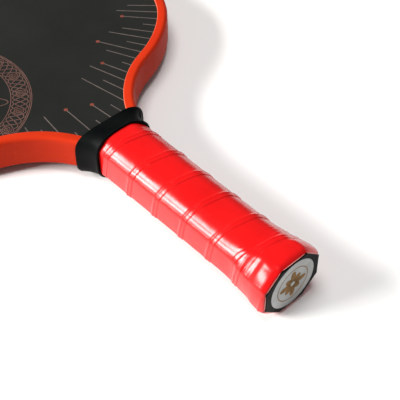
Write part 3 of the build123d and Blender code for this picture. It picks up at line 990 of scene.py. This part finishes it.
def area_light(name, direction, distance, width, height, power, colour=(1, 1, 1)):
    """A softbox that shines on the lit point from a direction."""
    light = bpy.data.lights.new(name, "AREA")
    light.shape = "RECTANGLE"
    light.size, light.size_y = width, height
    light.energy = power
    light.color = colour
    lamp = bpy.data.objects.new(name, light)
    bpy.context.scene.collection.objects.link(lamp)
    target = Vector(to_frame(LIT_POINT))
    away = Vector(direction).normalized()
    lamp.location = target + away * distance
    lamp.rotation_mode = "QUATERNION"
    lamp.rotation_quaternion = away.to_track_quat("Z", "Y")
    return lamp


def lighting():
    """Dim pale room, a window-like softbox from behind on the left, and a broad soft fill from above."""
    world = bpy.data.worlds.new("studio")
    bpy.context.scene.world = world
    world.use_nodes = True
    background = world.node_tree.nodes["Background"]
    background.inputs["Color"].default_value = (1.0, 0.99, 0.98, 1)
    background.inputs["Strength"].default_value = ROOM_STRENGTH
    area_light("key_softbox", *KEY_LIGHT, KEY_COLOUR)
    fill = area_light("top_fill", *FILL_LIGHT)
    fill.visible_glossy = False  # it lightens the shadows without a highlight of its own


def camera():
    """The camera, turned from looking along +y by its azimuth, elevation and roll."""
    a, e, r = radians(CAMERA_AZIMUTH), radians(CAMERA_ELEVATION), radians(CAMERA_ROLL)
    back = Vector((sin(a) * cos(e), -cos(a) * cos(e), sin(e)))
    right = (-back).cross(Vector((0, 0, 1))).normalized()
    up = right.cross(-back)
    rolled_right = right * cos(r) + up * sin(r)
    rolled_up = up * cos(r) - right * sin(r)
    data = bpy.data.cameras.new("camera")
    data.lens, data.sensor_width = LENS, SENSOR
    data.clip_start, data.clip_end = 0.01, 20
    view = bpy.data.objects.new("camera", data)
    bpy.context.scene.collection.objects.link(view)
    turn = Matrix((rolled_right, rolled_up, back)).transposed().to_4x4()
    view.matrix_world = Matrix.Translation(Vector(to_frame(CAMERA_PLACE))) @ turn
    bpy.context.scene.camera = view


def finish_cad_nodes(materials):
    """Gives each CAD node that stays its own finish."""
    for node, material in materials.items():
        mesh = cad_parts[node].data
        mesh.materials.clear()
        mesh.materials.append(material)


def build():
    """Every visual piece, and a finish for each CAD node that stays."""
    film = film_material()
    ray_ink = ink_material("ray_ink", srgb(98, 88, 85), srgb(114, 102, 98))
    dot_ink = ink_material("dot_ink", srgb(122, 60, 50), srgb(140, 76, 65))
    scroll_ink = ink_material("scroll_ink", srgb(108, 76, 69), srgb(126, 93, 85))
    (ray_points, ray_faces), (dot_points, dot_faces) = ray_print()
    scroll_points, scroll_faces = rosette_print()
    for label, side in (("front", 1), ("back", -1)):
        for name, points, faces, ink in (
            ("ray_print", ray_points, ray_faces, ray_ink),
            ("dot_print", dot_points, dot_faces, dot_ink),
            ("scroll_print", scroll_points, scroll_faces, scroll_ink),
        ):
            make_piece(f"{label}_{name}", on_face(points, side), faces, ink, smooth=False)
    edge_guard(guard_material())
    grip_wrap(grip_material())
    grip_cut_edge(fabric_edge_material())
    rubber_collar(rubber_material("collar_rubber", srgb(4, 6, 6), srgb(10, 12, 12), 0.42, 0.58, 1100))
    tape_band(inner_material("vinyl_tape", srgb(20, 20, 21), srgb(32, 32, 33), 0.35))
    badge_print(ink_material("badge_ink", srgb(108, 78, 30), srgb(134, 96, 42)))
    foam = inner_material("rigid_foam", srgb(205, 190, 150), srgb(220, 206, 168), 0.7)
    glue = inner_material("film_adhesive", srgb(190, 170, 110), srgb(205, 186, 128), 0.4)
    tape = inner_material("mounting_tape", srgb(215, 214, 208), srgb(228, 227, 222), 0.6)
    weave = inner_material("carbon_laminate", srgb(28, 29, 30), srgb(44, 45, 47), 0.4)
    core = inner_material("core_polypropylene", srgb(222, 226, 222), srgb(238, 240, 238), 0.45)
    staple = inner_material("staple_wire", srgb(170, 172, 174), srgb(190, 192, 194), 0.35)
    finish_cad_nodes({
        "front_graphic_film": film, "back_graphic_film": film,
        "front_face_sheet": weave, "back_face_sheet": weave,
        "front_adhesive_film": glue, "back_adhesive_film": glue,
        "front_pallet_glue": glue, "back_pallet_glue": glue,
        "honeycomb_core": core,
        "front_handle_pallet": foam, "back_handle_pallet": foam,
        "edge_guard_tape": tape, "badge_adhesive": tape,
        "butt_cap": rubber_material("cap_moulding", srgb(6, 7, 7), srgb(12, 14, 14), 0.36, 0.5, 700),
        "butt_cap_staples": staple,
        "butt_badge": badge_material(),
    })


build()
floor_plane()
lighting()
camera()
bpy.context.scene.view_settings.view_transform = "Standard"
